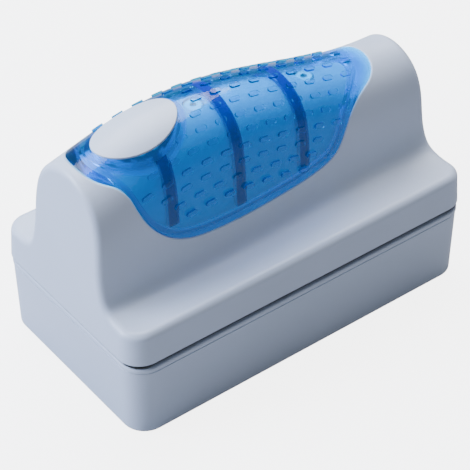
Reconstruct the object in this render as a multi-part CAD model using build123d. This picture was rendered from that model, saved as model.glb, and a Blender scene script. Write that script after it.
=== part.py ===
"""Magnetic glass cleaner: a hand-held half with a bell-shaped grip sits on a floating scrubber half.

Frame: millimetres, +Z up, origin at the centre of the footprint on the scrubber's underside.
+X runs along the cleaner, away from the end with the oval thumb rest.
"""
from build123d import *
import math
import os

os.makedirs("parts", exist_ok=True)

# ---------------------------------------------------------------- driving dimensions (mm)
LENGTH = 110.0              # handle footprint along X
WIDTH = 60.0                # handle footprint along Y
CORNER = 6.5                # corner radius in plan
WALL = 2.0                  # moulded wall thickness
FIT = 0.12                  # gap round a piece let into another

# heights of the stack
SEAM_Z = 20.75              # scrubber body meets its lid
LID_TOP_Z = 22.2            # top of the lid's rim
MEET_Z = 22.45              # scouring pad meets felt pad
FLANGE_Z = 23.7             # underside of the handle's flange
FLANGE_TOP_Z = 33.2         # top of the flange beside the grip

# bell-shaped grip
PEAK_X = -18.0              # where the ridge is highest
PEAK_Z = 72.3
NOSE_DROP, NOSE_RUN = 11.3, 60.0    # cosine fall of the ridge towards -X
TAIL_DROP, TAIL_RUN = 10.8, 68.0    # cosine fall of the ridge towards +X
CROWN_NOSE, CROWN_TAIL = 14.1, 12.1     # ridge radius at the two ends
FLANK_DRAFT = math.radians(6.8)     # flank leans out going down
ROOT_RADIUS = 5.0           # hollow curve between flank and flange
FLANGE_FALL = math.radians(4.0)     # flange top falls outwards
END_DRAFT = 4.0             # degrees that the walls and end faces lean in
EDGE_ROUND = 2.0            # rounding round the rim of flange and end faces
LIP_ROUND = 0.45            # soft lip where the shell meets the cover

# translucent grip cover, let into the ridge
COVER_THICK = 1.8
SKIRT = 1.4                 # thickness of the cover's edge wall
TRAY_DEPTH = 3.2            # depth of the tray under the cover
GLUE_LINE = 0.25            # layer of glue between the cover's skirt and the tray
RIB_WIDTH, RIB_PITCH, RIB_FIRST_X = 3.0, 21.0, -30.0
RIB_FOOT_Z = (47.2, 43.4, 44.8)     # lower end of each rib
COVER_NOSE_X, COVER_TAIL_X = -49.4, 41.2
COVER_EDGE = [(COVER_NOSE_X, 66.5), (-47.9, 65.3), (-43.4, 63.2), (-40.4, 57.4), (-36.2, 49.6),
              (-29.8, 44.0), (-19.0, 41.5), (2.0, 41.5), (15.2, 42.8), (21.6, 45.2),
              (27.0, 54.0), (31.4, 57.6), (37.6, 59.7), (COVER_TAIL_X, 62.4)]
COVER_GAP = 0.25            # seam between the cover and the shell

# thumb rest
REST_X = -31.9
REST_LENGTH, REST_WIDTH = 24.0, 16.0
REST_PROUD = 0.3
REST_TILT = 10.0            # degrees, with the slope of the ridge
REST_ROUND = 0.5

# finger nubs on the cover
NUB_LENGTH, NUB_WIDTH, NUB_PROUD = 3.2, 1.4, 0.6
NUB_ROOT, NUB_ROUND = 0.5, 0.3          # how far a nub reaches into the cover, and its top edge
NUB_PITCH, NUB_ROW_PITCH = 6.0, 4.0
NUB_ROW_START = (5.0, 2.0, 1.2, 2.9, 5.9, 5.1, 2.8, 5.9)    # shift of each row, ridge outwards
NUB_MARGIN = 1.3            # least distance from a nub's centre line to the cover's edge
REST_MARGIN = {-1: 1.3, 1: 0.3}         # width kept clear beside the thumb rest, on the -Y and the +Y side

# magnets and keepers, two rows of two in each half
MAGNET = (40.0, 15.0, 4.0)
MAGNET_X, MAGNET_Y = 21.5, 12.2
KEEPER = (86.0, 14.0, 1.2)

# pads
PAD_THICK, TAPE_THICK = 1.0, 0.25
FELT_INSET, SCOUR_INSET = 0.6, 1.6      # how far each pad's edge lies inside its half's side
TAPE_INSET = 1.0                        # and how far the tape lies inside its pad's edge

# scrubber half
SCRUB_LENGTH, SCRUB_WIDTH = 109.2, 60.4
SCRUB_DRAFT = 1.2           # degrees
SCRUB_FOOT_ROUND = 0.8
SEAL_INSET, SEAL_WIDTH, SEAL_DEPTH = 0.7, 0.8, 0.6

# screws
GRIP_SCREW_X = (-14.0, 21.0)
SCREW_SHANK_R, SCREW_HEAD_R, SCREW_HEAD_H = 1.5, 2.6, 1.6
BOSS_R = 3.2
BASE_SCREW_XY = (47.0, 21.5)
LID_SCREW_XY = (46.5, 22.5)

BIG = 200.0
EDGE_SAMPLES = 36           # points of a line that runs beside the cover's edge


# ---------------------------------------------------------------- curves of the grip
def ridge_z(x):
    """Height of the ridge at x."""
    if x < PEAK_X:
        drop, run = NOSE_DROP, NOSE_RUN
    else:
        drop, run = TAIL_DROP, TAIL_RUN
    turn = math.pi * min(abs(x - PEAK_X), run) / run
    return PEAK_Z - drop * (1.0 - math.cos(turn)) / 2.0


def crown_r(x):
    """Radius of the ridge's arch at x."""
    share = (x + LENGTH / 2) / LENGTH
    return CROWN_NOSE + (CROWN_TAIL - CROWN_NOSE) * share


def bell_points(x, inset):
    """Half of the bell outline at x, ridge to flange, set in by inset: a list of (y, z)."""
    r = crown_r(x)
    crown_z = ridge_z(x) - r
    flank_n = (math.cos(FLANK_DRAFT), math.sin(FLANK_DRAFT))
    flange_n = (math.sin(FLANGE_FALL), math.cos(FLANGE_FALL))
    # centre of the root curve: its radius away from both the flank's line and the flange's line
    flank_d = flank_n[1] * crown_z + r + ROOT_RADIUS
    flange_d = flange_n[1] * FLANGE_TOP_Z + flange_n[0] * WIDTH / 3 + ROOT_RADIUS
    det = flank_n[0] * flange_n[1] - flank_n[1] * flange_n[0]
    cy = (flank_d * flange_n[1] - flank_n[1] * flange_d) / det
    cz = (flank_n[0] * flange_d - flange_n[0] * flank_d) / det
    arch = r - inset
    root = ROOT_RADIUS + inset
    points = [(arch * math.sin(a), crown_z + arch * math.cos(a))
              for a in (0.0, 0.45, 0.95, math.pi / 2 - FLANK_DRAFT)]
    for turn in (0.0, 0.5, 1.0):
        a = math.pi + FLANK_DRAFT + turn * (math.pi / 2 - FLANGE_FALL - FLANK_DRAFT)
        points.append((cy + root * math.cos(a), cz + root * math.sin(a)))
    reach = WIDTH / 2 + 4.0
    points.append((reach, points[-1][1] - (reach - points[-1][0]) * math.tan(FLANGE_FALL)))
    return points


def bell(inset=0.0, foot_z=FLANGE_Z - 4.0):
    """The whole bell, longer and wider than the handle, set in by inset."""
    sections = []
    stations = 12
    for i in range(stations):
        x = -LENGTH / 2 - 2.0 + i * (LENGTH + 4.0) / (stations - 1)
        half = bell_points(x, inset)
        outline = [(-y, z) for y, z in reversed(half[1:])] + half
        top = Spline(*[(x, y, z) for y, z in outline])
        side = half[-1][0]
        base = Polyline((x, side, half[-1][1]), (x, side, foot_z), (x, -side, foot_z), (x, -side, half[-1][1]))
        sections.append(make_face(top.edges() + base.edges()))
    return loft(sections)


def prism(length, width, corner, z, height, taper=0.0):
    """A block with rounded corners standing on z; a positive taper narrows it upwards."""
    plan = Plane.XY.offset(z) * RectangleRounded(length, width, corner)
    return extrude(plan, amount=height, taper=taper)


def box(x0, x1, y0, y1, z0, z1):
    """A block given by its limits."""
    return Pos((x0 + x1) / 2, (y0 + y1) / 2, (z0 + z1) / 2) * Box(x1 - x0, y1 - y0, z1 - z0)


def rod(x, y, z0, z1, r):
    """An upright cylinder between two heights."""
    return Pos(x, y, (z0 + z1) / 2) * Cylinder(r, z1 - z0)


def cover_region(grow=0.0):
    """Everything above the cover's edge line, seen from the side, grown by grow."""
    edge = Spline(*[(x, 0, z) for x, z in COVER_EDGE])
    if grow:
        places = [i / EDGE_SAMPLES for i in range(EDGE_SAMPLES + 1)]
        edge = Spline(*[edge @ t + (edge % t).cross(Vector(0, -1, 0)) * grow for t in places])
    x0, x1 = (edge @ 0).X, (edge @ 1).X
    lid = Polyline(edge @ 1, (x1, 0, BIG / 2), (x0, 0, BIG / 2), edge @ 0)
    face = make_face(edge.edges() + lid.edges())
    return extrude(face, amount=WIDTH, dir=(0, 1, 0), both=True)


def rest_column(grow=0.0):
    """Upright column with the thumb rest's oval plan, square to the ridge there."""
    oval = Ellipse(REST_LENGTH / 2 + grow, REST_WIDTH / 2 + grow)
    column = extrude(oval, amount=BIG / 4, both=True)
    return Pos(REST_X, 0, ridge_z(REST_X)) * Rot(0, -REST_TILT, 0) * column


def surface_frame(x, along, side):
    """Plane on the bell's surface at x, a distance along the outline from the ridge, on one side."""
    def point(px, reach):
        r = crown_r(px)
        crown_z = ridge_z(px) - r
        arc_end = r * (math.pi / 2 - FLANK_DRAFT)
        a = min(reach, arc_end) / r
        down = max(reach - arc_end, 0.0)
        y = r * math.sin(a) + down * math.sin(FLANK_DRAFT)
        z = crown_z + r * math.cos(a) - down * math.cos(FLANK_DRAFT)
        return Vector(px, side * y, z)

    step = 0.2
    here = point(x, along)
    forward = point(x + step, along) - point(x - step, along)
    outward = point(x, along + step) - here
    normal = forward.cross(outward) * -side
    return Plane(origin=here, x_dir=forward, z_dir=normal)


def edge_z(x):
    """Height of the cover's edge line at x, straight between its points."""
    for (x0, z0), (x1, z1) in zip(COVER_EDGE, COVER_EDGE[1:]):
        if x0 <= x <= x1:
            return z0 + (z1 - z0) * (x - x0) / (x1 - x0)
    return BIG


def nub_fits(place):
    """True where a nub stays clear of the cover's edge and of the thumb rest."""
    x, y, z = place.origin.X, place.origin.Y, place.origin.Z
    half = NUB_LENGTH / 2 + NUB_MARGIN
    if min(z - edge_z(x - half), z - edge_z(x + half)) < NUB_MARGIN:
        return False
    rest_x = (x - REST_X) / (REST_LENGTH / 2 + half)
    rest_y = y / (REST_WIDTH / 2 + NUB_WIDTH / 2 + REST_MARGIN[1 if y > 0 else -1])
    return rest_x ** 2 + rest_y ** 2 > 1.0


def nubs():
    """The staggered rows of pill-shaped finger nubs, each square to the surface."""
    pill = extrude(SlotOverall(NUB_LENGTH, NUB_WIDTH), amount=NUB_ROOT + NUB_PROUD)
    pill = Pos(0, 0, -NUB_ROOT) * fillet(pill.edges().group_by(Axis.Z)[-1], NUB_ROUND)
    pills = []
    for row, start in enumerate(NUB_ROW_START):
        along = NUB_ROW_PITCH * (row + 0.5)
        count = int((COVER_TAIL_X - COVER_NOSE_X) / NUB_PITCH)
        for i in range(count + 1):
            x = COVER_NOSE_X + start % NUB_PITCH + i * NUB_PITCH
            for side in (1, -1):
                place = surface_frame(x, along, side)
                if nub_fits(place):
                    pills.append(place * pill)
    return pills


def save(name, shape):
    """Write one node's STEP file."""
    export_step(shape, f"parts/{name}.step")


def group(name, solids):
    """Write several separate solids as one node."""
    save(name, Compound(children=solids))


def screw(x, y, head_top, tip_z):
    """A pan-head screw with a hexagon socket, standing upright, head at the top."""
    neck = head_top - SCREW_HEAD_H
    head = rod(x, y, neck, head_top, SCREW_HEAD_R)
    head = fillet(head.edges().group_by(Axis.Z)[-1], 0.6)
    shank = rod(x, y, tip_z, neck, SCREW_SHANK_R)
    socket = extrude(RegularPolygon(1.0, 6), amount=0.8)
    return head + shank - Pos(x, y, head_top - 0.8) * socket


def corners(xy):
    """The four points at plus and minus x and y."""
    return [(sx * xy[0], sy * xy[1]) for sx in (-1, 1) for sy in (-1, 1)]


# ---------------------------------------------------------------- derived heights
BASE_Z = MEET_Z + PAD_THICK + TAPE_THICK        # underside of the handle's base plate
BASE_THICK, BASE_FLOOR = 1.8, 1.0               # base plate, and what is left of it under the magnets
MAGNET_Z = BASE_Z + BASE_FLOOR
KEEPER_Z = MAGNET_Z + MAGNET[2]
LID_FLOOR_Z = MEET_Z - PAD_THICK - TAPE_THICK   # floor of the lid's pad recess
LID_UNDER_Z = LID_FLOOR_Z - 1.6                 # underside of the lid
GRIP_SCREW_HEAD_Z = [ridge_z(x) - TRAY_DEPTH - 0.4 for x in GRIP_SCREW_X]

# ---------------------------------------------------------------- bells at each depth
bell_out = bell()
bell_wall = bell(WALL)
bell_cover = bell(COVER_THICK)
bell_glue = bell(TRAY_DEPTH - GLUE_LINE)
bell_tray = bell(TRAY_DEPTH)
bell_under = bell(TRAY_DEPTH + WALL)
region = cover_region()
region_gap = cover_region(COVER_GAP)
tall = PEAK_Z + 10.0 - FLANGE_Z


# ---------------------------------------------------------------- handle half
def make_handle_shell():
    """White bell-shaped housing with a tray for the cover and bosses for the base screws."""
    envelope = prism(LENGTH, WIDTH, CORNER, FLANGE_Z, tall, END_DRAFT)
    shell = bell_out & envelope
    rim = [edge for edge in shell.edges() if edge.center().Z > FLANGE_TOP_Z - 3.0]
    shell = fillet(rim, EDGE_ROUND) - (region_gap - bell_tray)
    lip = [edge for edge in shell.edges() if edge.length > LENGTH and edge.bounding_box().min.Z > FLANGE_TOP_Z]
    shell = fillet(lip, LIP_ROUND)

    inner = prism(LENGTH - 2 * WALL, WIDTH - 2 * WALL, CORNER - WALL, FLANGE_Z, tall, END_DRAFT)
    cavity = (bell_wall & inner) - (cover_region(WALL) - bell_under)
    for x, head_z in zip(GRIP_SCREW_X, GRIP_SCREW_HEAD_Z):
        cavity -= rod(x, 0, head_z - SCREW_HEAD_H - WALL, head_z + 1.0, SCREW_HEAD_R + WALL)
    for x, y in corners(BASE_SCREW_XY):
        cavity -= rod(x, y, BASE_Z + BASE_THICK, FLANGE_TOP_Z, BOSS_R - 0.4)
    shell -= cavity

    for x, head_z in zip(GRIP_SCREW_X, GRIP_SCREW_HEAD_Z):
        seat_z = head_z - SCREW_HEAD_H
        shell -= rod(x, 0, seat_z, head_z + WALL, SCREW_HEAD_R + FIT)
        shell -= rod(x, 0, seat_z - 2 * WALL, seat_z, SCREW_SHANK_R + FIT)
    for x, y in corners(BASE_SCREW_XY):
        shell -= rod(x, y, BASE_Z + BASE_THICK, FLANGE_TOP_Z - WALL, SCREW_SHANK_R)
    return shell


def make_grip_cover():
    """Blue translucent cover: a thin shell with a skirt, cross ribs below and nubs on top."""
    hollow = bell_cover & cover_region(-SKIRT)
    for i, foot_z in enumerate(RIB_FOOT_Z):
        x = RIB_FIRST_X + i * RIB_PITCH
        hollow -= box(x - RIB_WIDTH / 2, x + RIB_WIDTH / 2, -WIDTH, WIDTH, foot_z, BIG / 2)
    hollow -= rest_column(FIT + SKIRT)
    cover = (bell_out - bell_glue) & region
    cover -= hollow
    cover -= rest_column(FIT)
    return cover + nubs()


def make_thumb_rest():
    """Oval pad that fills the hole in the cover and stands on the tray."""
    rest = (bell(-REST_PROUD) & rest_column()) - bell_tray
    rim = rest.edges().sort_by(SortBy.LENGTH)[-1]
    return fillet(rim, REST_ROUND)


def make_handle_base():
    """Plate that closes the handle, with pocket walls for the magnets and posts for the grip screws."""
    gap = 2 * (WALL + 0.1)
    plate = prism(LENGTH - gap, WIDTH - gap, CORNER - WALL - 0.1, BASE_Z, BASE_THICK, END_DRAFT)
    for x, y in magnet_places():
        plate -= box(x - MAGNET[0] / 2, x + MAGNET[0] / 2, y - MAGNET[1] / 2, y + MAGNET[1] / 2, MAGNET_Z, BIG)
    for x, head_z in zip(GRIP_SCREW_X, GRIP_SCREW_HEAD_Z):
        post_top = head_z - SCREW_HEAD_H - WALL
        plate += rod(x, 0, BASE_Z, post_top, BOSS_R)
        plate -= rod(x, 0, post_top - 10.0, post_top, SCREW_SHANK_R)
    for x, y in corners(BASE_SCREW_XY):
        plate -= rod(x, y, BASE_Z, BASE_Z + 1.0, SCREW_HEAD_R + FIT)
        plate -= rod(x, y, BASE_Z, BASE_Z + BASE_THICK, SCREW_SHANK_R + FIT)
    return plate


def magnet_places():
    """Centres of the four magnets of one half."""
    return corners((MAGNET_X, MAGNET_Y))


def save_magnets(half, z):
    """One node for each magnet of a half, its underside at z, edges broken."""
    names = ("nose_right", "nose_left", "tail_right", "tail_left")
    for name, (x, y) in zip(names, magnet_places()):
        block = Pos(x, y, z + MAGNET[2] / 2) * Box(*MAGNET)
        save(f"{half}_magnet_{name}", fillet(block.edges(), 0.4))


def save_keepers(half, z):
    """The two steel bars that bridge the magnet rows of a half."""
    for name, side in (("right", -1), ("left", 1)):
        bar = Pos(0, side * MAGNET_Y, z + KEEPER[2] / 2) * Box(*KEEPER)
        save(f"{half}_keeper_{name}", fillet(bar.edges().filter_by(Axis.Z), 2.0))


def sheet(length, width, inset, z, thick):
    """A flat sheet with the rounded plan of one half, set in from its sides."""
    return prism(length - 2 * inset, width - 2 * inset, CORNER - inset / 2, z, thick)


# ---------------------------------------------------------------- scrubber half
def make_scrubber_body():
    """White open box that lies underneath, with bosses for the lid screws and a groove for the seal."""
    foot_length = SCRUB_LENGTH - 2 * SEAM_Z * math.tan(math.radians(SCRUB_DRAFT))
    foot_width = SCRUB_WIDTH - 2 * SEAM_Z * math.tan(math.radians(SCRUB_DRAFT))
    outer = prism(foot_length, foot_width, CORNER, 0, SEAM_Z, -SCRUB_DRAFT)
    outer = fillet(outer.edges().group_by(Axis.Z)[0], SCRUB_FOOT_ROUND)
    cavity = prism(foot_length - 2 * WALL, foot_width - 2 * WALL, CORNER - WALL, WALL, SEAM_Z, -SCRUB_DRAFT)
    body = outer - cavity
    for x, y in corners(LID_SCREW_XY):
        body += rod(x, y, WALL, LID_UNDER_Z, BOSS_R)
        body -= rod(x, y, LID_UNDER_Z - 8.0, LID_UNDER_Z, SCREW_SHANK_R)
    body -= seal_ring(SEAL_INSET, SEAL_WIDTH)
    return body


def seal_ring(inset, width):
    """Rectangular ring let into the top of the scrubber body's wall."""
    z = SEAM_Z - SEAL_DEPTH
    outer = prism(SCRUB_LENGTH - 2 * inset, SCRUB_WIDTH - 2 * inset, CORNER - inset, z, SEAL_DEPTH)
    inset += width
    inner = prism(SCRUB_LENGTH - 2 * inset, SCRUB_WIDTH - 2 * inset, CORNER - inset, z, SEAL_DEPTH)
    return outer - inner


def make_scrubber_lid():
    """Lid with a rim flush with the box, a plug inside it and a recess for the scouring pad."""
    rim = prism(SCRUB_LENGTH, SCRUB_WIDTH, CORNER, SEAM_Z, LID_TOP_Z - SEAM_Z)
    rim = fillet(rim.edges().group_by(Axis.Z)[-1], 0.5)
    rim = chamfer(rim.edges().group_by(Axis.Z)[0], 0.25)
    gap = 2 * (WALL + 0.5)
    plug = prism(SCRUB_LENGTH - gap, SCRUB_WIDTH - gap, CORNER - WALL - 0.5, LID_UNDER_Z, SEAM_Z - LID_UNDER_Z)
    lid = rim + plug
    lid -= sheet(SCRUB_LENGTH, SCRUB_WIDTH, SCOUR_INSET - FIT, LID_FLOOR_Z, WALL)
    for x, y in corners(LID_SCREW_XY):
        lid -= rod(x, y, LID_FLOOR_Z - 1.0, LID_FLOOR_Z, SCREW_HEAD_R + FIT)
        lid -= rod(x, y, LID_UNDER_Z, LID_FLOOR_Z, SCREW_SHANK_R + FIT)
    return lid


def flat_screw(x, y, head_face, tip, up):
    """A low-headed screw between its head face and its tip; up is +1 when the head is at the top."""
    head_h = 0.9
    neck = head_face - up * head_h
    head = rod(x, y, min(neck, head_face), max(neck, head_face), SCREW_HEAD_R)
    shank = rod(x, y, min(neck, tip), max(neck, tip), SCREW_SHANK_R)
    slot = box(x - 1.4, x + 1.4, y - 0.3, y + 0.3, head_face - 0.4, head_face + 0.4)
    return head + shank - slot


# ---------------------------------------------------------------- write the nodes
save("handle_shell", make_handle_shell())
save("grip_cover", make_grip_cover())
save("thumb_rest", make_thumb_rest())
group("grip_screws", [screw(x, 0, z, z - SCREW_HEAD_H - WALL - 9.0)
                      for x, z in zip(GRIP_SCREW_X, GRIP_SCREW_HEAD_Z)])
save("handle_base", make_handle_base())
save_magnets("handle", MAGNET_Z)
save_keepers("handle", KEEPER_Z)
group("base_screws", [flat_screw(x, y, BASE_Z + 0.05, BASE_Z + 4.9, -1) for x, y in corners(BASE_SCREW_XY)])
save("felt_tape", sheet(LENGTH, WIDTH, FELT_INSET + TAPE_INSET, BASE_Z - TAPE_THICK, TAPE_THICK))
save("felt_pad", sheet(LENGTH, WIDTH, FELT_INSET, MEET_Z, PAD_THICK))

save("scrubber_body", make_scrubber_body())
save("scrubber_lid", make_scrubber_lid())
save("lid_seal", seal_ring(SEAL_INSET, SEAL_WIDTH))
save_magnets("scrubber", LID_UNDER_Z - MAGNET[2])
save_keepers("scrubber", LID_UNDER_Z - MAGNET[2] - KEEPER[2])
foam_top = LID_UNDER_Z - MAGNET[2] - KEEPER[2]
foam = Pos(0, 0, (WALL + foam_top) / 2) * Box(84.0, 48.0, foam_top - WALL)
save("float_foam", fillet(foam.edges().filter_by(Axis.Z), 3.0))
group("lid_screws", [flat_screw(x, y, LID_FLOOR_Z - 0.05, LID_UNDER_Z - 7.0, 1) for x, y in corners(LID_SCREW_XY)])
save("scour_tape", sheet(SCRUB_LENGTH, SCRUB_WIDTH, SCOUR_INSET + TAPE_INSET, LID_FLOOR_Z, TAPE_THICK))
save("scour_pad", sheet(SCRUB_LENGTH, SCRUB_WIDTH, SCOUR_INSET, MEET_Z - PAD_THICK, PAD_THICK))
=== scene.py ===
"""Looks of a magnetic glass cleaner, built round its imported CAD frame.

The handle half stands on the scrubber half. Every place comes from the frame, in metres.
"""

import logging
import math
from dataclasses import dataclass
from enum import Enum
from typing import Any

import bmesh
import bpy
from mathutils import Matrix, Vector, noise


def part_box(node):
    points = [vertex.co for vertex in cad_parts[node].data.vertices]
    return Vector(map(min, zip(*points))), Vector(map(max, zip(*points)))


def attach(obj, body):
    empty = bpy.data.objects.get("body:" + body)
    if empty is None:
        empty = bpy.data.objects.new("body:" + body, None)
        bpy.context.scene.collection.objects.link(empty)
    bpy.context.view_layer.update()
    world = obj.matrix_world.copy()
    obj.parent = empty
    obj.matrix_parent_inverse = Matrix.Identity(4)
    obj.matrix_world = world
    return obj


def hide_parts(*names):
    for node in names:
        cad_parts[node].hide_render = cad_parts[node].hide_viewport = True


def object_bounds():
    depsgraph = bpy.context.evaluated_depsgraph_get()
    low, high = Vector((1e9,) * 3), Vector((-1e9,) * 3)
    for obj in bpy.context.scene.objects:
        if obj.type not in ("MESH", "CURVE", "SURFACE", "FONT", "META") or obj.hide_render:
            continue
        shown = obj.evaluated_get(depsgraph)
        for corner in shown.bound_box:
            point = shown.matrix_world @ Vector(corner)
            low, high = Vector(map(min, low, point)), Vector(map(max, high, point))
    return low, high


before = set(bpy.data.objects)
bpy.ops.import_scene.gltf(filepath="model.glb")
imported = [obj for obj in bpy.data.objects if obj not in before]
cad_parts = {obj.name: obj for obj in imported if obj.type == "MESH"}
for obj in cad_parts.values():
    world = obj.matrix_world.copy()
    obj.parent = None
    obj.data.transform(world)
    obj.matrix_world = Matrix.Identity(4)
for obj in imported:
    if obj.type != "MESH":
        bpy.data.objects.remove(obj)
CAD_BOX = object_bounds()

LOG = logging.getLogger("glass_cleaner")
MM = 0.001

Span = tuple[float, float]
ALL: Span = (0.0, 1.0)
MIDDLE: Span = (0.35, 0.65)     # nearly all the values of a noise texture
BROAD: Span = (0.3, 0.7)

# sockets of a Mix node, whose inputs share their names between data types
MIX_FACTOR, MIX_VECTOR_A, MIX_VECTOR_B, MIX_COLOUR_A, MIX_COLOUR_B = 0, 4, 5, 6, 7
MIX_VECTOR_OUT, MIX_COLOUR_OUT = 1, 2


class Half(Enum):
    """The two halves of the cleaner, by the body that each rides on."""

    HANDLE = "handle"
    SCRUBBER = "scrubber"


class Slot(Enum):
    """Material slots of the record for the remade soft pieces; each pad holds one, but nothing reads it."""

    FELT = "black_felt"
    WEB = "scouring_pad"
    FOAM = "closed_cell_foam"


# ---------------------------------------------------------------- colour and node helpers
def linear(colour: str) -> tuple[float, float, float, float]:
    """Turn an sRGB hex colour to linear RGBA.

    Args:
        colour: Six hex digits after a hash sign.

    Returns:
        The linear colour, with an alpha of 1.
    """
    channels = [int(colour[i:i + 2], 16) / 255.0 for i in (1, 3, 5)]
    flat = [c / 12.92 if c <= 0.04045 else ((c + 0.055) / 1.055) ** 2.4 for c in channels]
    return flat[0], flat[1], flat[2], 1.0


def per_mm(size_mm: float) -> float:
    """Find the scale of a procedural texture.

    Args:
        size_mm: About how far across its features are, in millimetres.

    Returns:
        The texture node's scale.
    """
    return 1.0 / (size_mm * MM)


@dataclass
class Tree:
    """A material's node tree, with the one function that adds a node to it."""

    material: bpy.types.Material

    def add(self, kind: str, settings: dict[str, Any] | None = None,
            inputs: dict[Any, Any] | None = None) -> bpy.types.Node:
        """Add a node.

        Args:
            kind: The node's type, such as ShaderNodeTexNoise.
            settings: Attributes to set on the node.
            inputs: Socket to value, or socket to an output socket that is linked to it.

        Returns:
            The new node.
        """
        node = self.material.node_tree.nodes.new(kind)
        for name, value in (settings or {}).items():
            setattr(node, name, value)
        self.feed(node, inputs or {})
        return node

    def feed(self, node: bpy.types.Node, inputs: dict[Any, Any]) -> None:
        """Set or link a node's inputs.

        Args:
            node: The node.
            inputs: Socket to value, or socket to an output socket that is linked to it.
        """
        for socket, value in inputs.items():
            if isinstance(value, bpy.types.NodeSocket):
                self.material.node_tree.links.new(value, node.inputs[socket])
            else:
                node.inputs[socket].default_value = value

    def noise(self, coords: bpy.types.NodeSocket, size_mm: float, detail: float,
              **more: float) -> bpy.types.NodeSocket:
        """Add a noise texture.

        Args:
            coords: Where it is looked up.
            size_mm: About how far across its features are, in millimetres.
            detail: Its octaves.
            more: Its other inputs by name, such as Roughness or Distortion.

        Returns:
            Its value.
        """
        texture = self.add("ShaderNodeTexNoise", inputs={
            "Vector": coords, "Scale": per_mm(size_mm), "Detail": detail, **more})
        return texture.outputs["Fac"]

    def drift(self, coords: bpy.types.NodeSocket, size_mm: float, detail: float,
              share: float) -> bpy.types.NodeSocket:
        """Bend coordinates by noise.

        Args:
            coords: What is bent.
            size_mm: About how far apart the bends are, in millimetres.
            detail: The octaves of the noise.
            share: How much of the noise is mixed in.

        Returns:
            The bent coordinates.
        """
        warp = self.add("ShaderNodeTexNoise", inputs={
            "Vector": coords, "Scale": per_mm(size_mm), "Detail": detail})
        bent = self.add("ShaderNodeMix", {"data_type": "VECTOR"}, {
            MIX_FACTOR: share, MIX_VECTOR_A: coords, MIX_VECTOR_B: warp.outputs["Color"]})
        return bent.outputs[MIX_VECTOR_OUT]

    def blend(self, factor: bpy.types.NodeSocket, first: str, second: str) -> bpy.types.NodeSocket:
        """Go from one colour to another.

        Args:
            factor: 0 for the first colour and 1 for the second.
            first: An sRGB hex colour.
            second: An sRGB hex colour.

        Returns:
            The blended colour.
        """
        mix = self.add("ShaderNodeMix", {"data_type": "RGBA"}, {
            MIX_FACTOR: factor, MIX_COLOUR_A: linear(first), MIX_COLOUR_B: linear(second)})
        return mix.outputs[MIX_COLOUR_OUT]

    def shade(self, colour: Any, value: bpy.types.NodeSocket) -> bpy.types.NodeSocket:
        """Lighten or darken a colour.

        Args:
            colour: A colour, or the output socket of one.
            value: What its brightness is multiplied by.

        Returns:
            The shaded colour.
        """
        node = self.add("ShaderNodeHueSaturation", inputs={"Color": colour, "Value": value})
        return node.outputs["Color"]

    def bump(self, height: bpy.types.NodeSocket, strength: float, depth_mm: float) -> bpy.types.NodeSocket:
        """Turn a height to a normal.

        Args:
            height: The height, 0 to 1.
            strength: How strongly it acts.
            depth_mm: What a height of 1 stands for, in millimetres.

        Returns:
            The normal.
        """
        node = self.add("ShaderNodeBump", inputs={
            "Height": height, "Strength": strength, "Distance": depth_mm * MM})
        return node.outputs["Normal"]

    def spread(self, source: bpy.types.NodeSocket, to: Span, over: Span = ALL) -> bpy.types.NodeSocket:
        """Map a value from one span to another, held at both ends.

        Args:
            source: The value.
            to: The span that it is mapped to.
            over: The span that it is mapped from.

        Returns:
            The mapped value.
        """
        node = self.add("ShaderNodeMapRange", {"clamp": True}, {
            "Value": source, "From Min": over[0], "From Max": over[1], "To Min": to[0], "To Max": to[1]})
        return node.outputs[0]

    def math(self, operation: str, *values: Any) -> bpy.types.NodeSocket:
        """Add a math node.

        Args:
            operation: What it does, such as MULTIPLY.
            values: Its inputs in order, as numbers or output sockets.

        Returns:
            Its result.
        """
        return self.add("ShaderNodeMath", {"operation": operation}, dict(enumerate(values))).outputs[0]


def new_tree(name: str) -> tuple[Tree, bpy.types.NodeSocket, bpy.types.Node]:
    """Start a material.

    Args:
        name: The material's name.

    Returns:
        Its tree, its object coordinates and its principled shader.
    """
    material = bpy.data.materials.new(name)
    material.use_nodes = True
    tree = Tree(material)
    shader = material.node_tree.nodes["Principled BSDF"]
    coords = tree.add("ShaderNodeTexCoord").outputs["Object"]
    return tree, coords, shader


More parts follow.
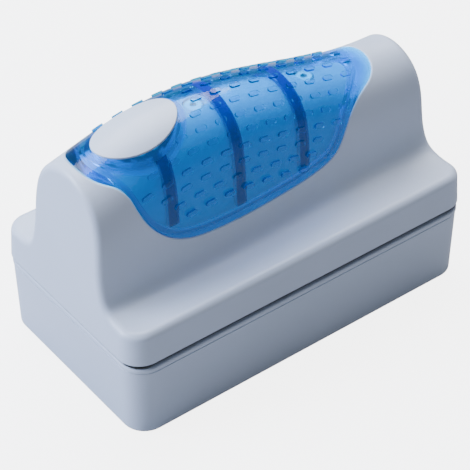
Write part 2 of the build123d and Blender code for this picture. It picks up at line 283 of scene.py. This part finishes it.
# ---------------------------------------------------------------- finishes
@dataclass(frozen=True)
class MouldedAbs:
    """Injection-moulded ABS with a spark-eroded satin grain.

    It has soft broad highlights, and painted shade: its colour is darker where surfaces meet.
    """

    name: str
    colour: str = "#cfd9ec"
    # the colour of the painted shade in gaps and where surfaces meet
    gap_shade: str = "#adb3c0"
    roughness: float = 0.40
    grain_mm: float = 0.35      # the real grain is about 0.1 mm, drawn coarser so that it shows
    grain_depth_mm: float = 0.012
    grain_strength: float = 0.35
    cloud_mm: float = 38.0      # how far apart the moulding's uneven cooling shows
    cloud_value: Span = (0.975, 1.01)
    scuff_mm: float = 5.0
    scuff_span: Span = (0.35, 0.7)
    polish: float = 0.05        # how much smoother the smoothest places are
    scratch: float = 0.07       # how much rougher the most scuffed places are
    shade_reach_mm: float = 1.6         # how far off a surface still darkens the colour, as painted shade
    shade_share: Span = (0.55, 0.0)
    shade_span: Span = (0.35, 0.95)
    edge_mm: float = 0.25       # how far sharp edges are worn round
    ior: float = 1.54
    glow_share: float = 0.06    # light that goes in and comes out again
    glow_depth_mm: float = 1.2

    def build(self) -> bpy.types.Material:
        """Make the material.

        Returns:
            The material.
        """
        tree, coords, shader = new_tree(self.name)
        grain = tree.noise(coords, self.grain_mm, 3.0, Roughness=0.6)
        cloud = tree.noise(coords, self.cloud_mm, 2.0, Roughness=0.5)
        scuff = tree.noise(coords, self.scuff_mm, 5.0, Roughness=0.65, Distortion=0.6)
        # painted shade: ambient occlusion darkens the colour in gaps and where surfaces meet
        occlusion = tree.add("ShaderNodeAmbientOcclusion", {"samples": 4, "only_local": True}, {
            "Distance": self.shade_reach_mm * MM})
        painted_shade = tree.spread(occlusion.outputs["AO"], self.shade_share, self.shade_span)
        base = tree.blend(painted_shade, self.colour, self.gap_shade)
        worn = tree.add("ShaderNodeBevel", {"samples": 4}, {
            "Radius": self.edge_mm * MM,
            "Normal": tree.bump(grain, self.grain_strength, self.grain_depth_mm)})
        roughness = (self.roughness - self.polish, self.roughness + self.scratch)
        tree.feed(shader, {
            "Base Color": tree.shade(base, tree.spread(cloud, self.cloud_value, MIDDLE)),
            "Roughness": tree.spread(scuff, roughness, self.scuff_span),
            "Normal": worn.outputs["Normal"],
            "IOR": self.ior,
            "Subsurface Weight": self.glow_share,
            "Subsurface Radius": (1.0, 1.0, 1.0),
            "Subsurface Scale": self.glow_depth_mm * MM})
        return tree.material


@dataclass(frozen=True)
class TintedPolycarbonate:
    """Clear blue polycarbonate, polished in the mould.

    Light goes in, meets the white tray and comes back blue, and lamps light the tray through it. Thick
    places, such as the skirt, are deeper in colour. A faint blue glow is painted on it, and the undersides
    of the ribs, which no light comes back from, are painted dark blue as bars of shade.
    """

    name: str
    tint: str = "#b6ecff"
    dye: str = "#00f3fb"
    dye_per_mm: float = 2.0
    # a faint blue painted glow, light that no lamp gives
    painted_glow: str = "#0a96e0"
    painted_glow_strength: float = 0.10
    # the painted shade on the ribs' undersides
    painted_rib_shade: str = "#1745a4"
    painted_rib_shade_roughness: float = 0.5
    roughness: float = 0.09
    smear: float = 0.08         # how much rougher the most handled places are
    smear_mm: float = 3.0
    smear_span: Span = (0.45, 0.75)
    flow_mm: float = 14.0       # how far apart the waves of the moulding's flow are
    flow_value: Span = (0.95, 1.0)
    flow_depth_mm: float = 0.06
    flow_strength: float = 0.25
    ior: float = 1.38
    specular: float = 0.3
    lamp_share: tuple[float, float, float, float] = (0.92, 0.97, 1.0, 1.0)
    rib_x_mm: tuple[float, float, float] = (-30.0, -9.0, 12.0)
    rib_foot_mm: tuple[float, float, float] = (47.2, 43.4, 44.8)
    rib_width_mm: float = 3.0
    rib_margin_mm: float = 0.05
    axis_z_mm: float = 50.0     # height inside the grip that its outer skin faces away from
    inward_limit: float = -0.5  # a face whose normal has less than this outwards faces the tray

    def facing(self, tree: Tree, coords: bpy.types.NodeSocket) -> bpy.types.NodeSocket:
        """Measure how far the surface faces out of the grip.

        Args:
            tree: The material's tree.
            coords: Its object coordinates.

        Returns:
            1 where it faces straight away from the grip's axis, and -1 where it faces the axis.
        """
        outward = tree.add("ShaderNodeVectorMath", {"operation": "SUBTRACT"}, {
            0: coords, 1: (0.0, 0.0, self.axis_z_mm * MM)})
        outward = tree.add("ShaderNodeVectorMath", {"operation": "MULTIPLY"}, {
            0: outward.outputs[0], 1: (0.0, 1.0, 1.0)})
        outward = tree.add("ShaderNodeVectorMath", {"operation": "NORMALIZE"}, {0: outward.outputs[0]})
        skin = tree.add("ShaderNodeNewGeometry")
        facing = tree.add("ShaderNodeVectorMath", {"operation": "DOT_PRODUCT"}, {
            0: outward.outputs[0], 1: skin.outputs["True Normal"]})
        turned = tree.spread(skin.outputs["Backfacing"], (1.0, -1.0))
        return tree.math("MULTIPLY", facing.outputs["Value"], turned)

    def bars(self, tree: Tree, coords: bpy.types.NodeSocket) -> bpy.types.NodeSocket:
        """Find the undersides of the ribs, where dark shade is painted.

        Args:
            tree: The material's tree.
            coords: Its object coordinates.

        Returns:
            1 on a rib's underside, and 0 elsewhere.
        """
        place = tree.add("ShaderNodeSeparateXYZ", inputs={0: coords})
        reach = (self.rib_width_mm / 2 + self.rib_margin_mm) * MM
        ribs = []
        for x_mm, foot_mm in zip(self.rib_x_mm, self.rib_foot_mm):
            band = tree.math("COMPARE", place.outputs["X"], x_mm * MM, reach)
            above = tree.math("GREATER_THAN", place.outputs["Z"], foot_mm * MM)
            ribs.append(tree.math("MULTIPLY", band, above))
        found = ribs[0]
        for rib in ribs[1:]:
            found = tree.math("MAXIMUM", found, rib)
        inward = tree.math("LESS_THAN", self.facing(tree, coords), self.inward_limit)
        return tree.math("MULTIPLY", found, inward)

    def build(self) -> bpy.types.Material:
        """Make the material.

        Returns:
            The material.
        """
        tree, coords, shader = new_tree(self.name)
        flow = tree.noise(coords, self.flow_mm, 3.0, Roughness=0.55)
        handling = tree.noise(coords, self.smear_mm, 6.0, Roughness=0.7, Distortion=1.2)
        roughness = (self.roughness, self.roughness + self.smear)
        tree.feed(shader, {
            "Base Color": tree.shade(linear(self.tint), tree.spread(flow, self.flow_value, MIDDLE)),
            "Roughness": tree.spread(handling, roughness, self.smear_span),
            "Normal": tree.bump(flow, self.flow_strength, self.flow_depth_mm),
            "IOR": self.ior,
            "Specular IOR Level": self.specular,
            "Transmission Weight": 1.0,
            # painted glow: the emission brightens the blue as if the cover were lit from inside
            "Emission Color": linear(self.painted_glow),
            "Emission Strength": self.painted_glow_strength})
        # painted shade: the ribs' undersides are drawn in a dark opaque blue
        dark = tree.add("ShaderNodeBsdfPrincipled", inputs={
            "Base Color": linear(self.painted_rib_shade), "Roughness": self.painted_rib_shade_roughness, "Specular IOR Level": 0.0})
        ribbed = tree.add("ShaderNodeMixShader", inputs={
            0: self.bars(tree, coords), 1: shader.outputs[0], 2: dark.outputs[0]})
        path = tree.add("ShaderNodeLightPath")
        clear = tree.add("ShaderNodeBsdfTransparent", inputs={0: self.lamp_share})
        seen = tree.add("ShaderNodeMixShader", inputs={
            0: path.outputs["Is Shadow Ray"], 1: ribbed.outputs[0], 2: clear.outputs[0]})
        dye = tree.add("ShaderNodeVolumeAbsorption", inputs={
            "Color": linear(self.dye), "Density": self.dye_per_mm / MM})
        tree.feed(tree.material.node_tree.nodes["Material Output"], {
            "Surface": seen.outputs[0], "Volume": dye.outputs[0]})
        return tree.material


@dataclass(frozen=True)
class PressedFelt:
    """Pressed wool felt: matt, with short matted fibres that catch a little light."""

    name: str
    colour: str = "#16171a"
    fibre: str = "#34363b"
    fibre_mm: float = 0.5       # a real fibre is about 0.03 mm thick, drawn as small tufts
    fibre_span: Span = (0.42, 0.66)
    fibre_depth_mm: float = 0.25
    fibre_roughness: Span = (0.98, 0.85)
    roughness_span: Span = (0.4, 0.7)
    tangle_mm: float = 2.5
    tangle_share: float = 0.0016
    mottle_mm: float = 9.0
    mottle_value: Span = (0.8, 1.2)

    def build(self) -> bpy.types.Material:
        """Make the material.

        Returns:
            The material.
        """
        tree, coords, shader = new_tree(self.name)
        bent = tree.drift(coords, self.tangle_mm, 2.0, self.tangle_share)
        fibres = tree.noise(bent, self.fibre_mm, 6.0, Roughness=0.75, Distortion=2.5)
        mottled = tree.noise(coords, self.mottle_mm, 3.0)
        base = tree.blend(tree.spread(fibres, ALL, self.fibre_span), self.colour, self.fibre)
        tree.feed(shader, {
            "Base Color": tree.shade(base, tree.spread(mottled, self.mottle_value, BROAD)),
            "Roughness": tree.spread(fibres, self.fibre_roughness, self.roughness_span),
            "Normal": tree.bump(fibres, 0.9, self.fibre_depth_mm),
            "Sheen Weight": 0.25,
            "Sheen Roughness": 0.5,
            "Specular IOR Level": 0.2})
        return tree.material


@dataclass(frozen=True)
class ScouringWeb:
    """Non-woven nylon web bonded with grit: crossing coarse fibres with dark pores between them."""

    name: str
    pore: str = "#0c0d0f"
    fibre: str = "#4a4d52"
    fibre_mm: float = 0.9       # pores between fibres are about 0.3 mm, drawn larger so that they show
    fibre_span: Span = (0.02, 0.2)
    fibre_depth_mm: float = 0.3
    tangle_mm: float = 1.8
    tangle_share: float = 0.0012
    grit_mm: float = 0.25
    grit_value: Span = (0.75, 1.25)
    grit_roughness: Span = (0.7, 0.95)

    def build(self) -> bpy.types.Material:
        """Make the material.

        Returns:
            The material.
        """
        tree, coords, shader = new_tree(self.name)
        cells = tree.add("ShaderNodeTexVoronoi", {"feature": "DISTANCE_TO_EDGE"}, {
            "Vector": tree.drift(coords, self.tangle_mm, 3.0, self.tangle_share),
            "Scale": per_mm(self.fibre_mm)})
        grit = tree.noise(coords, self.grit_mm, 2.0)
        strand = tree.spread(cells.outputs["Distance"], (1.0, 0.0), self.fibre_span)
        base = tree.blend(strand, self.pore, self.fibre)
        tree.feed(shader, {
            "Base Color": tree.shade(base, tree.spread(grit, self.grit_value, MIDDLE)),
            "Roughness": tree.spread(grit, self.grit_roughness, MIDDLE),
            "Normal": tree.bump(strand, 0.9, self.fibre_depth_mm),
            "Specular IOR Level": 0.35})
        return tree.material


@dataclass(frozen=True)
class PlatedMetal:
    """Plated or rolled metal: a mirror broken up by fine lines along X and faint handling marks."""

    name: str
    colour: str
    mark: str
    roughness: float
    line_mm: float = 0.3        # polishing lines are about 0.05 mm apart, drawn wider
    line_stretch: float = 40.0  # how many times longer than wide a line is
    line_depth_mm: float = 0.01
    line_roughness: float = 0.15
    mark_mm: float = 6.0
    mark_share: Span = (0.0, 0.5)
    mark_span: Span = (0.5, 0.75)

    def build(self) -> bpy.types.Material:
        """Make the material.

        Returns:
            The material.
        """
        tree, coords, shader = new_tree(self.name)
        stretch = tree.add("ShaderNodeMapping", {"vector_type": "TEXTURE"}, {
            "Vector": coords, "Scale": (self.line_stretch, 1.0, 1.0)})
        lines = tree.noise(stretch.outputs["Vector"], self.line_mm, 2.0)
        marks = tree.noise(coords, self.mark_mm, 6.0, Roughness=0.7)
        worn = tree.spread(marks, self.mark_share, self.mark_span)
        roughness = (self.roughness, self.roughness + self.line_roughness)
        tree.feed(shader, {
            "Base Color": tree.blend(worn, self.colour, self.mark),
            "Roughness": tree.spread(lines, roughness, MIDDLE),
            "Normal": tree.bump(lines, 0.2, self.line_depth_mm),
            "Metallic": 1.0})
        return tree.material


@dataclass(frozen=True)
class SoftSheet:
    """Foam, film or rubber: matt, with small cells or specks."""

    name: str
    colour: str
    cell: str
    cell_mm: float
    roughness: float
    depth_mm: float
    cell_span: Span = (0.25, 0.7)
    speck_roughness: float = 0.12

    def build(self) -> bpy.types.Material:
        """Make the material.

        Returns:
            The material.
        """
        tree, coords, shader = new_tree(self.name)
        cells = tree.add("ShaderNodeTexVoronoi", inputs={"Vector": coords, "Scale": per_mm(self.cell_mm)})
        specks = tree.noise(coords, self.cell_mm / 2, 3.0)
        hollow = tree.spread(cells.outputs["Distance"], ALL, self.cell_span)
        roughness = (self.roughness, self.roughness + self.speck_roughness)
        tree.feed(shader, {
            "Base Color": tree.blend(hollow, self.colour, self.cell),
            "Roughness": tree.spread(specks, roughness, MIDDLE),
            "Normal": tree.bump(cells.outputs["Distance"], 0.5, self.depth_mm)})
        return tree.material


@dataclass(frozen=True)
class StudioPaper:
    """Seamless white background paper, with the faint tooth of its fibres."""

    name: str = "paper_seamless_white"
    colour: str = "#a8aaae"
    wash: Span = (0.04, 5.0)    # the lamps that wash the paper, as the object and as the camera see them
    tooth_mm: float = 1.2
    tooth_depth_mm: float = 0.05

    def build(self) -> bpy.types.Material:
        """Make the material.

        Returns:
            The material.
        """
        tree, coords, shader = new_tree(self.name)
        tooth = tree.noise(coords, self.tooth_mm, 3.0)
        path = tree.add("ShaderNodeLightPath")
        tree.feed(shader, {
            "Base Color": linear(self.colour),
            "Roughness": 0.95,
            "Normal": tree.bump(tooth, 0.1, self.tooth_depth_mm),
            "Specular IOR Level": 0.1,
            "Emission Color": (1.0, 1.0, 1.0, 1.0),
            "Emission Strength": tree.spread(path.outputs["Is Camera Ray"], self.wash)})
        return tree.material


# ---------------------------------------------------------------- pieces
def dress(node: str, material: bpy.types.Material) -> None:
    """Give a CAD node its finish.

    Args:
        node: The node's name.
        material: The finish, which takes the place of every material on it.
    """
    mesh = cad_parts[node].data
    mesh.materials.clear()
    mesh.materials.append(material)


def finish_piece(name: str, form: bmesh.types.BMesh, material: bpy.types.Material) -> bpy.types.Object:
    """Turn a finished bmesh into an object at the origin.

    Args:
        name: The piece's name.
        form: The mesh, which is freed.
        material: Its finish.

    Returns:
        The object, linked to the scene.
    """
    mesh = bpy.data.meshes.new(name)
    form.to_mesh(mesh)
    form.free()
    mesh.materials.append(material)
    piece = bpy.data.objects.new(name, mesh)
    bpy.context.scene.collection.objects.link(piece)
    return piece


# a level edge rises less than LEVEL, and an upright one more than STEEP, in metres
LEVEL, STEEP = 1e-7, 1e-5
LUMP_FRACTAL = (0.9, 2.1, 3)         # the lumps' dimension, how much finer each octave is, and how many


def rise(edge: bmesh.types.BMEdge) -> float:
    """Measure how far an edge rises.

    Args:
        edge: The edge.

    Returns:
        The height between its ends, in metres.
    """
    return abs(edge.verts[0].co.z - edge.verts[1].co.z)


@dataclass(frozen=True)
class SoftPad:
    """A flat pad with rounded corners, cut from sheet stock and stuck down, worn uneven by use."""

    node: str
    half: Half
    slot: Slot
    corner_mm: float = 5.0
    rim_mm: float = 0.3
    cell_mm: float = 1.6
    lump_mm: float = 0.05
    lump_size_mm: float = 2.0
    lump_room: float = 1.2      # room left round the pad, as a share of its lumps' height
    fill: float = 0.9

    def cut(self, form: bmesh.types.BMesh, low: Vector, high: Vector) -> None:
        """Divide the pad by evenly spaced planes along X and Y.

        Args:
            form: The pad's mesh.
            low: Its lowest corner.
            high: Its highest corner.
        """
        for axis in (0, 1):
            normal = Vector((axis == 0, axis == 1, 0))
            count = int((high[axis] - low[axis]) / (self.cell_mm * MM))
            for i in range(1, count):
                place = normal * (low[axis] + (high[axis] - low[axis]) * i / count)
                everything = form.verts[:] + form.edges[:] + form.faces[:]
                bmesh.ops.bisect_plane(
                    form, geom=everything, dist=LEVEL, plane_co=place, plane_no=normal)

    def wear(self, form: bmesh.types.BMesh) -> None:
        """Push the surface in and out by smooth lumps.

        Args:
            form: The pad's mesh.
        """
        form.normal_update()
        for vert in form.verts:
            lump = noise.fractal(vert.co / (self.lump_size_mm * MM), *LUMP_FRACTAL)
            vert.co += vert.normal * max(-1.0, min(1.0, lump)) * self.lump_mm * MM

    def build(self, material: bpy.types.Material) -> bpy.types.Object:
        """Make the pad in the place of its CAD node.

        Args:
            material: Its finish.

        Returns:
            The pad.
        """
        low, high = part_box(self.node)
        room = Vector((1.0, 1.0, 1.0)) * self.lump_mm * self.lump_room * MM
        low, high = low + room, high - room
        form = bmesh.new()
        bmesh.ops.create_cube(form, size=1.0)
        bmesh.ops.scale(form, vec=high - low, verts=form.verts)
        bmesh.ops.translate(form, vec=(high + low) / 2, verts=form.verts)
        upright = [edge for edge in form.edges if rise(edge) > STEEP]
        bmesh.ops.bevel(form, geom=upright, offset=self.corner_mm * MM, segments=10, profile=0.5,
                        affect="EDGES", material=-1)
        rims = [edge for edge in form.edges if rise(edge) < LEVEL]
        bmesh.ops.bevel(form, geom=rims, offset=self.rim_mm * MM, segments=3, profile=0.5,
                        affect="EDGES", material=-1)
        self.cut(form, low, high)
        self.wear(form)
        bmesh.ops.recalc_face_normals(form, faces=form.faces)
        for face in form.faces:
            face.smooth = True
        piece = finish_piece(f"{self.node}_worn", form, material)
        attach(piece, self.half.value)
        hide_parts(self.node)
        LOG.info("%s: %d faces", piece.name, len(piece.data.polygons))
        return piece


@dataclass(frozen=True)
class HandleHalf:
    """The hand-held half: white housing, blue grip cover, thumb rest and felt."""

    white: bpy.types.Material
    pale: bpy.types.Material
    blue: bpy.types.Material
    felt: bpy.types.Material

    def build(self) -> None:
        """Dress the handle's nodes and make its soft piece."""
        for node in ("handle_shell", "handle_base"):
            dress(node, self.white)
        dress("thumb_rest", self.pale)
        dress("grip_cover", self.blue)
        SoftPad("felt_pad", Half.HANDLE, Slot.FELT, lump_mm=0.04).build(self.felt)


@dataclass(frozen=True)
class ScrubberHalf:
    """The half that goes in the tank: white box and lid, seal, float and scouring pad."""

    white: bpy.types.Material
    web: bpy.types.Material
    foam: bpy.types.Material
    rubber: bpy.types.Material

    def build(self) -> None:
        """Dress the scrubber's nodes and make its soft pieces."""
        for node in ("scrubber_body", "scrubber_lid"):
            dress(node, self.white)
        dress("lid_seal", self.rubber)
        SoftPad("scour_pad", Half.SCRUBBER, Slot.WEB, lump_mm=0.08, lump_size_mm=1.2,
                fill=0.8).build(self.web)
        SoftPad("float_foam", Half.SCRUBBER, Slot.FOAM, corner_mm=3.0, rim_mm=0.8, cell_mm=4.0,
                fill=1.0).build(self.foam)


@dataclass(frozen=True)
class Hardware:
    """Magnets, keepers, screws and adhesive sheets inside both halves."""

    nickel: bpy.types.Material
    zinc: bpy.types.Material
    steel: bpy.types.Material
    film: bpy.types.Material

    def build(self) -> None:
        """Dress every node whose name says what it is."""
        finishes = {"magnet": self.nickel, "keeper": self.zinc, "screws": self.steel, "tape": self.film}
        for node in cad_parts:
            for word, material in finishes.items():
                if word in node:
                    dress(node, material)


# ---------------------------------------------------------------- studio
@dataclass(frozen=True)
class Softbox:
    """A square diffuse lamp."""

    name: str
    place: tuple[float, float, float]
    size: float
    watts: float
    colour: str

    def build(self, aim: Vector) -> None:
        """Hang the lamp.

        Args:
            aim: The point that it faces.
        """
        data = bpy.data.lights.new(self.name, "AREA")
        data.shape = "SQUARE"
        data.size = self.size
        data.energy = self.watts
        data.color = linear(self.colour)[:3]
        lamp = bpy.data.objects.new(self.name, data)
        lamp.location = self.place
        lamp.rotation_euler = (aim - Vector(self.place)).to_track_quat("-Z", "Y").to_euler()
        bpy.context.scene.collection.objects.link(lamp)


@dataclass(frozen=True)
class Studio:
    """A white paper floor, soft lamps and the camera."""

    aim_mm: tuple[float, float, float] = (-2.22, -1.60, 21.89)
    azimuth: float = 37.25
    elevation: float = 40.04
    distance_mm: float = 504.7
    roll: float = -0.283
    lens: float = 145.64
    sensor: float = 36.0
    near_mm: float = 10.0       # nothing closer to the camera than this is drawn
    sky: str = "#eef3fb"
    sky_strength: float = 0.24
    floor_half: float = 3.0
    floor_drop_mm: float = 0.2  # how far the floor is under the object, so that the two don't coincide
    lamp_aim: tuple[float, float, float] = (0.0, 0.0, 0.035)
    lamps: tuple[Softbox, ...] = (
        Softbox("key", (-0.48, 0.26, 0.34), 0.35, 7.4, "#d6e4ff"),
        Softbox("top", (0.25, 0.40, 0.90), 0.8, 18.0, "#f3f7ff"),
    )

    def camera(self) -> None:
        """Set the camera, looking along the azimuth and down by the elevation."""
        turn, tilt = math.radians(self.azimuth), math.radians(self.elevation)
        back = Vector((-math.sin(turn) * math.cos(tilt), -math.cos(turn) * math.cos(tilt), math.sin(tilt)))
        right = Vector((math.cos(turn), -math.sin(turn), 0.0))
        right = Matrix.Rotation(math.radians(self.roll), 3, back) @ right
        up = back.cross(right)
        place = Vector(self.aim_mm) * MM + back * self.distance_mm * MM
        data = bpy.data.cameras.new("camera")
        data.lens = self.lens
        data.sensor_width = self.sensor
        data.clip_start = self.near_mm * MM
        eye = bpy.data.objects.new("camera", data)
        eye.matrix_world = Matrix((
            (right.x, up.x, back.x, place.x),
            (right.y, up.y, back.y, place.y),
            (right.z, up.z, back.z, place.z),
            (0.0, 0.0, 0.0, 1.0)))
        bpy.context.scene.collection.objects.link(eye)
        bpy.context.scene.camera = eye

    def floor(self, material: bpy.types.Material) -> None:
        """Lay the paper floor under the object.

        Args:
            material: The paper.
        """
        form = bmesh.new()
        bmesh.ops.create_grid(form, x_segments=8, y_segments=8, size=self.floor_half)
        bmesh.ops.translate(form, vec=(0.0, 0.0, CAD_BOX[0][2] - self.floor_drop_mm * MM), verts=form.verts)
        finish_piece("floor", form, material)

    def world(self) -> None:
        """Light everything faintly from all round."""
        world = bpy.data.worlds.new("studio")
        world.use_nodes = True
        background = world.node_tree.nodes["Background"]
        background.inputs["Color"].default_value = linear(self.sky)
        background.inputs["Strength"].default_value = self.sky_strength
        bpy.context.scene.world = world

    def build(self) -> None:
        """Set up the whole studio."""
        self.camera()
        self.world()
        self.floor(StudioPaper().build())
        for lamp in self.lamps:
            lamp.build(Vector(self.lamp_aim))


def main() -> None:
    """Build the studio and the two halves, and report each."""
    logging.basicConfig(level=logging.INFO)
    Studio().build()
    LOG.info("studio ready")
    # ABS for both housings, and the same in a finer, glossier grain for the thumb rest
    white = MouldedAbs("abs_white_moulded_satin").build()
    pale = MouldedAbs("abs_pale_moulded_smooth", colour="#d6e0f2", gap_shade="#c0c9da", roughness=0.33,
                      grain_mm=0.3, grain_depth_mm=0.006).build()
    # clear coloured polycarbonate, as on other see-through grips, and black wool felt that is soft on glass
    blue = TintedPolycarbonate("polycarbonate_blue_polished").build()
    felt = PressedFelt("felt_black_pressed").build()
    HandleHalf(white, pale, blue, felt).build()
    LOG.info("handle half ready")
    # nylon web on the wet side, closed-cell foam for the float and a silicone cord for the seal
    web = ScouringWeb("nylon_web_charcoal_bonded").build()
    foam = SoftSheet("polyethylene_foam_white_cut", "#e9e9e4", "#cfcfc8", 0.9, 0.8, 0.1).build()
    rubber = SoftSheet("silicone_grey_extruded", "#55585b", "#484b4e", 0.4, 0.5, 0.01).build()
    ScrubberHalf(white, web, foam, rubber).build()
    LOG.info("scrubber half ready")
    # nickel-plated magnets, zinc-plated keepers, stainless screws and acrylic adhesive sheets
    nickel = PlatedMetal("nickel_bright_plated", "#c9c7c2", "#a8a49c", 0.14).build()
    zinc = PlatedMetal("zinc_steel_rolled", "#a9adb2", "#8d9196", 0.3).build()
    steel = PlatedMetal("stainless_steel_turned", "#dfe1e3", "#c9cbcd", 0.42).build()
    film = SoftSheet("acrylic_film_adhesive", "#dcd8cb", "#cfcabb", 1.2, 0.45, 0.01).build()
    Hardware(nickel, zinc, steel, film).build()
    LOG.info("hardware ready")


if __name__ == "__main__":
    main()
